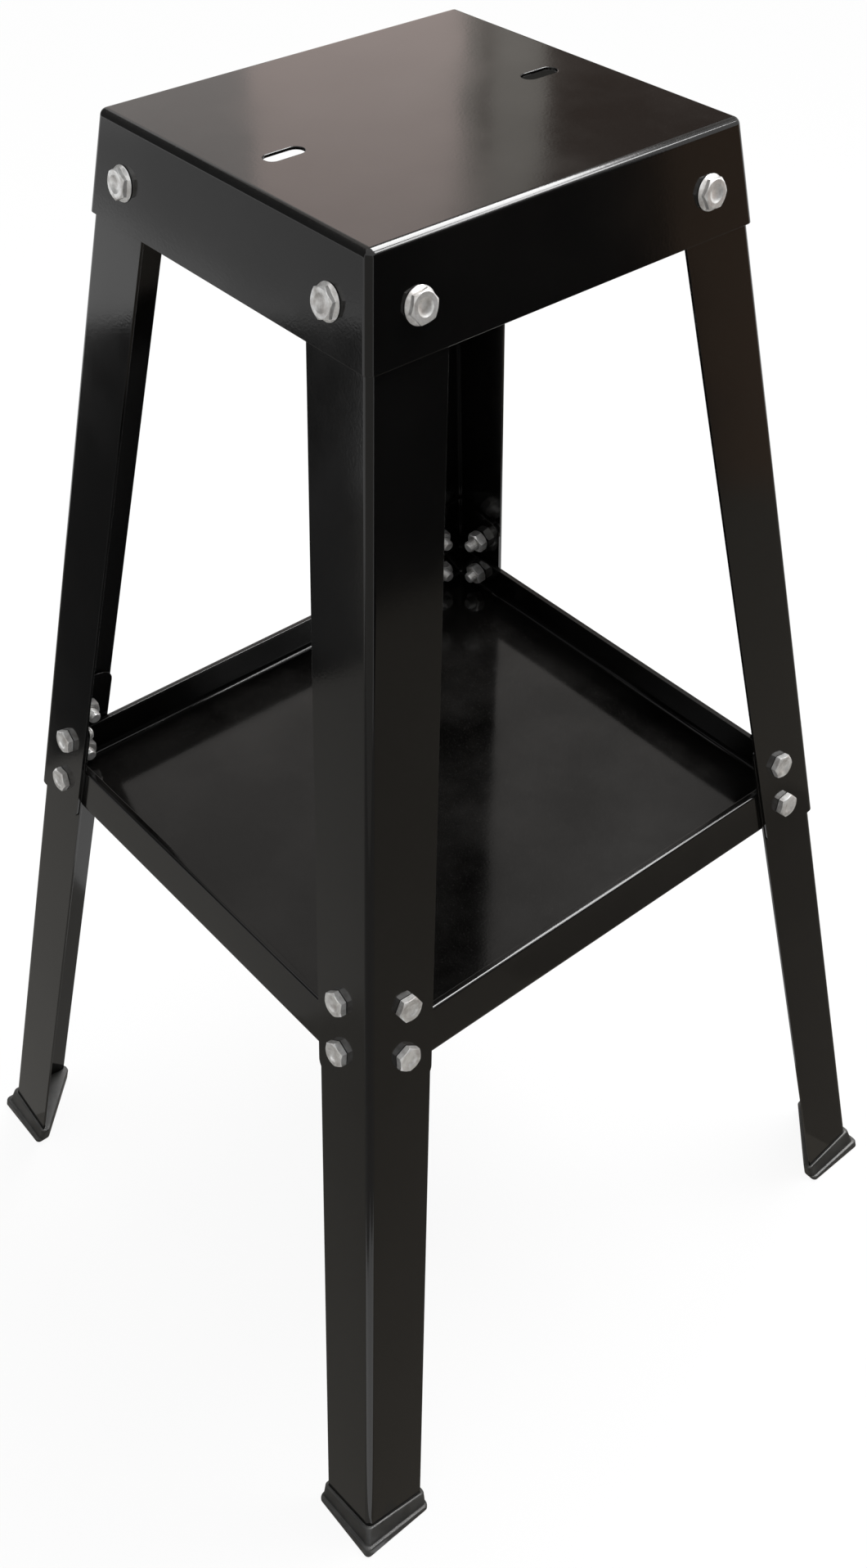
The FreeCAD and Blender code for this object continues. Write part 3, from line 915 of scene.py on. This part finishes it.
CAMERA_PLACE = Vector((-0.47099, -0.57003, 1.03258))
CAMERA_HEADING = math.radians(-40.0477)
CAMERA_TILT = math.radians(-42.6275)
CAMERA_ROLL = math.radians(-0.1516)
SENSOR = 36.0
FOCAL_SHARE = 1994.60 / 1916    # focal length over the frame's height
FLOOR_SIZE = 12.0
FLOOR_DROP = 0.0005     # how far the floor lies under the soles
ROOM_LIGHT = 0.45       # the room's share of light on the stand; seen directly, the room is white
NEAR_WHITENESS = 0.92   # how white the floor is under the stand; the rest is shading
SHADOW_REACH = 1.2      # from here the shading fades out,
FLOOR_FADE_END = 4.5    # and from here the floor is as white as the backdrop


def set_camera():
    forward = Vector((
        -math.sin(CAMERA_HEADING) * math.cos(CAMERA_TILT),
        math.cos(CAMERA_HEADING) * math.cos(CAMERA_TILT),
        math.sin(CAMERA_TILT)))
    right = Vector((math.cos(CAMERA_HEADING), math.sin(CAMERA_HEADING), 0))
    upward = right.cross(forward)
    across = right * math.cos(CAMERA_ROLL) + upward * math.sin(CAMERA_ROLL)
    upright = upward * math.cos(CAMERA_ROLL) - right * math.sin(CAMERA_ROLL)
    data = bpy.data.cameras.new("camera")
    data.sensor_fit = "VERTICAL"
    data.sensor_height = SENSOR
    data.lens = SENSOR * FOCAL_SHARE
    data.clip_start = 0.01
    camera = bpy.data.objects.new("camera", data)
    turned = Matrix((across, upright, -forward)).transposed().to_4x4()
    camera.matrix_world = Matrix.Translation(CAMERA_PLACE) @ turned
    bpy.context.scene.collection.objects.link(camera)
    bpy.context.scene.camera = camera


def seen_directly(tree):
    """1 for rays from the camera, or by way of gloss or glass."""
    rays = add(tree, "ShaderNodeLightPath").outputs
    either = math_node(tree, "MAXIMUM", rays["Is Camera Ray"], rays["Is Glossy Ray"])
    return math_node(tree, "MAXIMUM", either, rays["Is Transmission Ray"])


def set_floor():
    mesh = bpy.data.meshes.new("floor")
    half = FLOOR_SIZE / 2
    corners = [(-half, -half, 0), (half, -half, 0), (half, half, 0), (-half, half, 0)]
    mesh.from_pydata(corners, [], [(0, 1, 2, 3)])
    floor = bpy.data.objects.new("floor", mesh)
    floor.location.z = -FLOOR_DROP
    bpy.context.scene.collection.objects.link(floor)
    material, tree, surface = new_material("pale_floor")
    surface.inputs["Base Color"].default_value = (0.80, 0.80, 0.80, 1)
    surface.inputs["Roughness"].default_value = 0.9
    surface.inputs["Specular IOR Level"].default_value = 0.0
    white = add(tree, "ShaderNodeEmission", Strength=1.0)
    mix = add(tree, "ShaderNodeMixShader")
    length = add(tree, "ShaderNodeVectorMath", operation="LENGTH")
    tree.links.new(add(tree, "ShaderNodeTexCoord").outputs["Object"], length.inputs[0])
    distance = length.outputs["Value"]
    whiteness = ramp(tree, distance, SHADOW_REACH, FLOOR_FADE_END, NEAR_WHITENESS, 1.0)
    share = math_node(tree, "MULTIPLY", seen_directly(tree), whiteness)
    tree.links.new(share, mix.inputs[0])
    tree.links.new(surface.outputs[0], mix.inputs[1])
    tree.links.new(white.outputs[0], mix.inputs[2])
    tree.links.new(mix.outputs[0], tree.nodes["Material Output"].inputs["Surface"])
    mesh.materials.append(material)


def set_world():
    world = bpy.data.worlds.new("studio")
    bpy.context.scene.world = world
    world.use_nodes = True
    tree = world.node_tree
    background = tree.nodes["Background"]
    strength = ramp(tree, seen_directly(tree), 0.0, 1.0, ROOM_LIGHT, 1.0)
    tree.links.new(strength, background.inputs["Strength"])
    background.inputs["Color"].default_value = (1, 1, 1, 1)


def soft_lamp(name, place, target, width, height, power, in_gloss=True):
    data = bpy.data.lights.new(name, "AREA")
    data.shape = "RECTANGLE"
    data.size = width
    data.size_y = height
    data.energy = power
    lamp = bpy.data.objects.new(name, data)
    lamp.location = place
    lamp.rotation_euler = (Vector(target) - Vector(place)).to_track_quat("-Z", "Y").to_euler()
    lamp.visible_glossy = in_gloss
    bpy.context.scene.collection.objects.link(lamp)


def lying(height, *places):
    """The corners of a level card."""
    return [(x, y, height) for x, y in places]


def standing(start, end, distance, low, high):
    """The corners of an upright card between two headings, given in degrees from +X."""
    feet = []
    for heading in (math.radians(start), math.radians(end)):
        feet.append(Vector((math.cos(heading), math.sin(heading), 0)) * distance)
    return [feet[0] + UP * low, feet[1] + UP * low, feet[1] + UP * high, feet[0] + UP * high]


def gloss_card(name, corners, colour):
    """An even card that shows only in the gloss of the paint and the plating."""
    mesh = bpy.data.meshes.new(name)
    mesh.from_pydata([tuple(corner) for corner in corners], [], [tuple(range(len(corners)))])
    card = bpy.data.objects.new(name, mesh)
    material, tree, surface = new_material(name)
    tree.nodes.remove(surface)
    even = add(tree, "ShaderNodeEmission", Strength=1.0, Color=(*colour, 1))
    tree.links.new(even.outputs[0], tree.nodes["Material Output"].inputs["Surface"])
    mesh.materials.append(material)
    card.visible_camera = False
    card.visible_diffuse = False
    card.visible_shadow = False
    card.visible_transmission = False
    bpy.context.scene.collection.objects.link(card)


def set_cards():
    """What the gloss shows of the room, as corners and colours."""
    cards = {
        "left_mat": (
            lying(0.001, (-0.24, -0.235), (-0.1, -0.1), (0.0, 1.2), (-1.5, 1.2), (-1.5, 0.43)),
            (0.34, 0.33, 0.31)),
        "left_near": (
            lying(0.002, (-0.20, -0.235), (-0.62, -0.03), (-0.58, 0.20), (-0.20, 0.20)),
            (0.22, 0.21, 0.19)),
        "right_mat": (
            lying(0.001, (-0.235, -0.24), (0.19, -1.9), (1.8, -1.9), (1.8, -0.2), (-0.1, -0.15)),
            (0.24, 0.22, 0.19)),
        "right_near": (
            lying(0.002, (0.22, -0.62), (0.62, -0.62), (0.62, -0.2), (0.22, -0.2)),
            (0.17, 0.155, 0.135)),
        "camera_mat": (
            lying(0.001, (-0.52, -0.09), (-2.1, 0.75), (-2.4, -1.9), (0.18, -1.9), (-0.14, -0.56),
                  (-0.5, -0.5)),
            (0.26, 0.25, 0.24)),
        "dark_rug": (
            lying(0.002, (-0.48, 0.64), (-1.20, 1.95), (-2.15, 2.00), (-1.00, 0.72)),
            (0.05, 0.05, 0.05)),
        "rug_fringe": (
            lying(0.003, (-1.02, 0.70), (-0.92, 0.80), (-1.22, 1.28), (-1.45, 1.30)),
            (0.12, 0.12, 0.12)),
        "window_side": (standing(-50, -28, 3.0, 2.7, 3.8), (14, 14, 14)),
        "far_mat": (
            lying(0.001, (-3.6, 2.1), (-1.85, 2.1), (-1.85, 3.8), (-3.6, 3.8)),
            (0.58, 0.58, 0.58)),
        "right_screen": (standing(-94, -46.5, 1.8, 0.0, 1.5), (0.03, 0.03, 0.03)),
        "brown_screen": (standing(-46.5, -20, 1.8, 0.0, 0.85), (0.30, 0.21, 0.15)),
        "camera_side": (standing(172, 258, 2.2, 0.0, 1.7), (0.40, 0.39, 0.37)),
        "left_screen": (standing(88, 162, 2.4, 0.62, 3.0), (0.14, 0.14, 0.14)),
        "back_wall": (standing(48.5, 57.5, 3.2, 0.7, 2.6), (1.30, 1.10, 1.03)),
        "back_wall_end": (standing(57.5, 80, 3.2, 0.7, 2.6), (0.82, 0.76, 0.73)),
        "wall_panel": (standing(45, 48.5, 3.2, 0.7, 2.6), (0.62, 0.58, 0.53)),
        "post": (standing(47.3, 47.8, 3.15, 0.7, 2.6), (0.30, 0.27, 0.24)),
        "doorway": (standing(20, 45, 3.2, 0.7, 2.6), (0.13, 0.10, 0.085)),
        "ceiling": (
            lying(3.4, (0.3, 0.3), (3.6, -0.4), (3.6, 3.6), (-0.4, 3.6)),
            (0.52, 0.50, 0.48)),
    }
    for name, (corners, colour) in cards.items():
        gloss_card(name, corners, colour)


def set_studio():
    set_camera()
    set_floor()
    set_world()
    bpy.context.scene.view_settings.view_transform = "Standard"
    soft_lamp("overhead_softbox", place=(0.2, 0.3, 2.6), target=(0, 0, 0.4),
              width=2.2, height=2.2, power=34, in_gloss=False)
    soft_lamp("window", place=(1.14, 0.0, 2.62), target=(0, 0, 0.76),
              width=1.6, height=0.85, power=75)
    set_cards()


# The stand in its studio

set_studio()
texture = surface_texture_group()
dust = dust_group()
wear = edge_wear_group()
enamel = gloss_black_enamel(texture, dust, wear)
zinc = bright_zinc(texture, dust, wear)
rubber = black_rubber(texture, dust, wear)

cap = make_piece("top_cap_skin", top_cap_faces(), enamel, "black_paint", **SHEET_EDGES)
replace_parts(cap, "top_cap")
tray = make_piece("shelf_tray_skin", shelf_tray_faces(), enamel, "black_paint", **SHEET_EDGES)
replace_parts(tray, "shelf_tray")
make_corner_pieces("upper_leg", upper_leg_faces(), enamel, "black_paint", **SHEET_EDGES)
make_corner_pieces("lower_leg", lower_leg_faces(), enamel, "black_paint", **SHEET_EDGES)
make_fasteners(zinc, **FASTENER_EDGES)
make_corner_pieces("foot", foot_faces(), rubber, "foot_rubber", **FOOT_EDGES)
